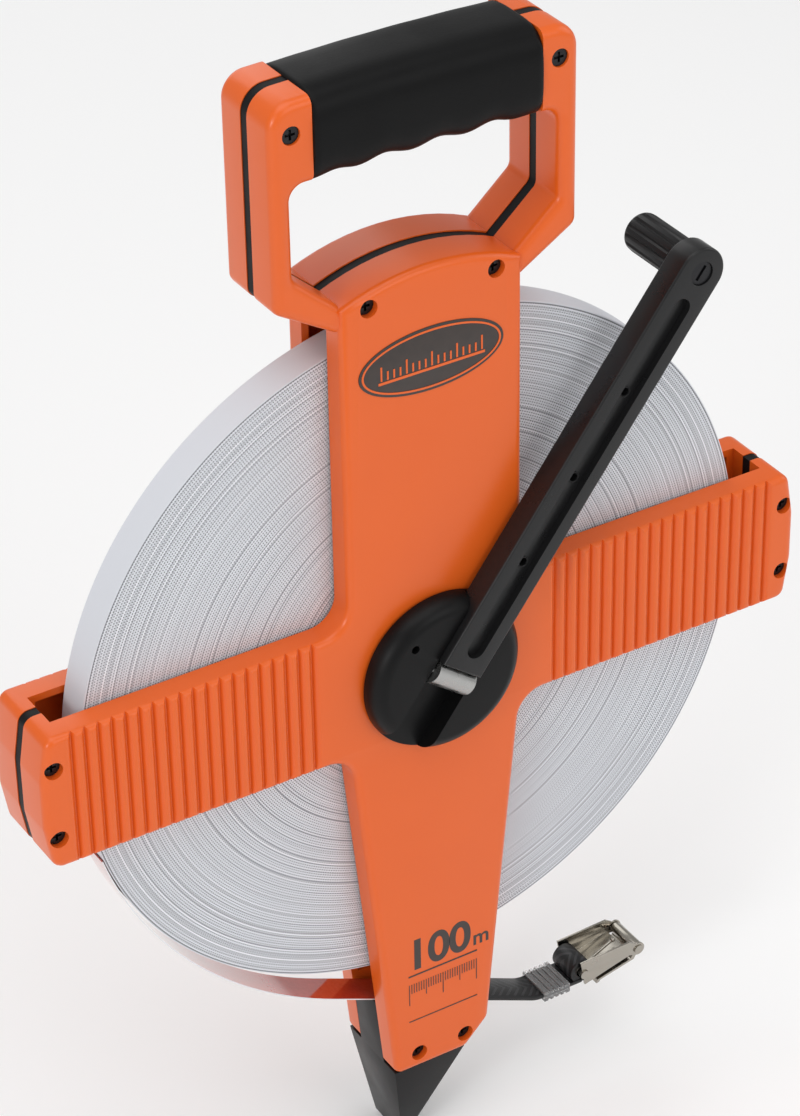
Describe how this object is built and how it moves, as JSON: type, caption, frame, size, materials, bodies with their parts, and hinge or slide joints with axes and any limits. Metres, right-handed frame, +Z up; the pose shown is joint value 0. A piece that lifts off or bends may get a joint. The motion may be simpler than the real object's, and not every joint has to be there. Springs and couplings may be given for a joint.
{
  "type": "surveyor tape reel",
  "caption": "Open-frame long measuring tape on a reel with a carrying handle, folding geared rewind crank, ground spike and end hook.",
  "frame": {"origin": "hub axis at the middle of the blade's width", "axes": "+Z up through the handle, -Y out of the face that carries the crank, +X to the right seen from the front"},
  "size_m": [0.29, 0.0455, 0.4243],
  "materials": {
    "black_plastic": "black moulded plastic",
    "blade_red": "printed face of the free end",
    "blade_white": "white coated glass-fibre tape, seen on edge",
    "bronze": "sintered bronze",
    "case_orange": "bright orange moulded plastic, satin",
    "clear": "clear plastic crimp",
    "gear_white": "natural acetal",
    "grip_rubber": "soft black rubber",
    "leader_black": "moulded black leader",
    "steel_black": "black oxide steel",
    "steel_bright": "bright plated steel"
  },
  "bodies": {
    "case": {"front_shell": "case_orange", "rear_shell": "case_orange", "handle_core": "black_plastic", "grip_sleeve": "grip_rubber", "arm_spacer_left": "black_plastic", "arm_spacer_right": "black_plastic", "ground_spike": "black_plastic", "case_screws": "steel_black", "ring_gear": "gear_white", "ring_gear_screws": "steel_bright", "axle_bolt": "steel_bright", "axle_nut": "steel_bright", "rear_washer": "bronze", "tape_tail": "blade_red", "leader_strap": "leader_black", "leader_clamp": "clear"},
    "hub": {"crank_hub": "black_plastic", "planet_pins": "steel_bright", "hinge_pin": "steel_bright"},
    "crank": {"crank_arm": "black_plastic", "hinge_barrel": "steel_bright", "knob_bolt": "steel_black"},
    "knob": {"crank_knob": "black_plastic"},
    "planet_1": {"planet_gear_1": "gear_white"},
    "planet_2": {"planet_gear_2": "gear_white"},
    "planet_3": {"planet_gear_3": "gear_white"},
    "drum": {"drum_core": "black_plastic", "drum_bush": "bronze", "sun_gear": "gear_white", "tape_coil": "blade_white"},
    "hook": {"hook_channel": "steel_bright", "hook_pins": "steel_bright", "hook_wire": "steel_bright"},
    "claw": {"hook_claw": "steel_bright"}
  },
  "joints": [
    {"name": "crank_spin", "type": "hinge", "parent": "case", "child": "hub", "pos_m": [0, 0, 0], "axis": [0, 1, 0], "range_deg": [-12, 39]},
    {"name": "crank_fold", "type": "hinge", "parent": "hub", "child": "crank", "pos_m": [0, -0.02375, 0], "axis": [0.7965, 0, -0.6046], "range_deg": [0, 180]},
    {"name": "knob_spin", "type": "hinge", "parent": "crank", "child": "knob", "pos_m": [0.09347, 0, 0.12314], "axis": [0, 1, 0], "continuous": true},
    {"name": "drum_spin", "type": "hinge", "parent": "case", "child": "drum", "pos_m": [0, 0, 0], "axis": [0, 1, 0], "range_deg": [-37, 118]},
    {"name": "planet_1_spin", "type": "hinge", "parent": "hub", "child": "planet_1", "pos_m": [0.01016, 0, 0.01338], "axis": [0, 1, 0], "range_deg": [-157, 49]},
    {"name": "planet_2_spin", "type": "hinge", "parent": "hub", "child": "planet_2", "pos_m": [0.00651, 0, -0.01549], "axis": [0, 1, 0], "range_deg": [-157, 49]},
    {"name": "planet_3_spin", "type": "hinge", "parent": "hub", "child": "planet_3", "pos_m": [-0.01667, 0, 0.00211], "axis": [0, 1, 0], "range_deg": [-157, 49]},
    {"name": "hook_swing", "type": "hinge", "parent": "case", "child": "hook", "pos_m": [0.0663, 0, -0.167], "axis": [0, 1, 0], "range_deg": [-30, 20]},
    {"name": "claw_swing", "type": "hinge", "parent": "hook", "child": "claw", "pos_m": [0.09, 0, -0.1656], "axis": [0, 1, 0], "range_deg": [-90, 0]}
  ],
  "couplings": [
    {"joint": "drum_spin", "follows": "crank_spin", "ratio": 3},
    {"joint": "planet_1_spin", "follows": "crank_spin", "ratio": -4},
    {"joint": "planet_2_spin", "follows": "crank_spin", "ratio": -4},
    {"joint": "planet_3_spin", "follows": "crank_spin", "ratio": -4}
  ]
}
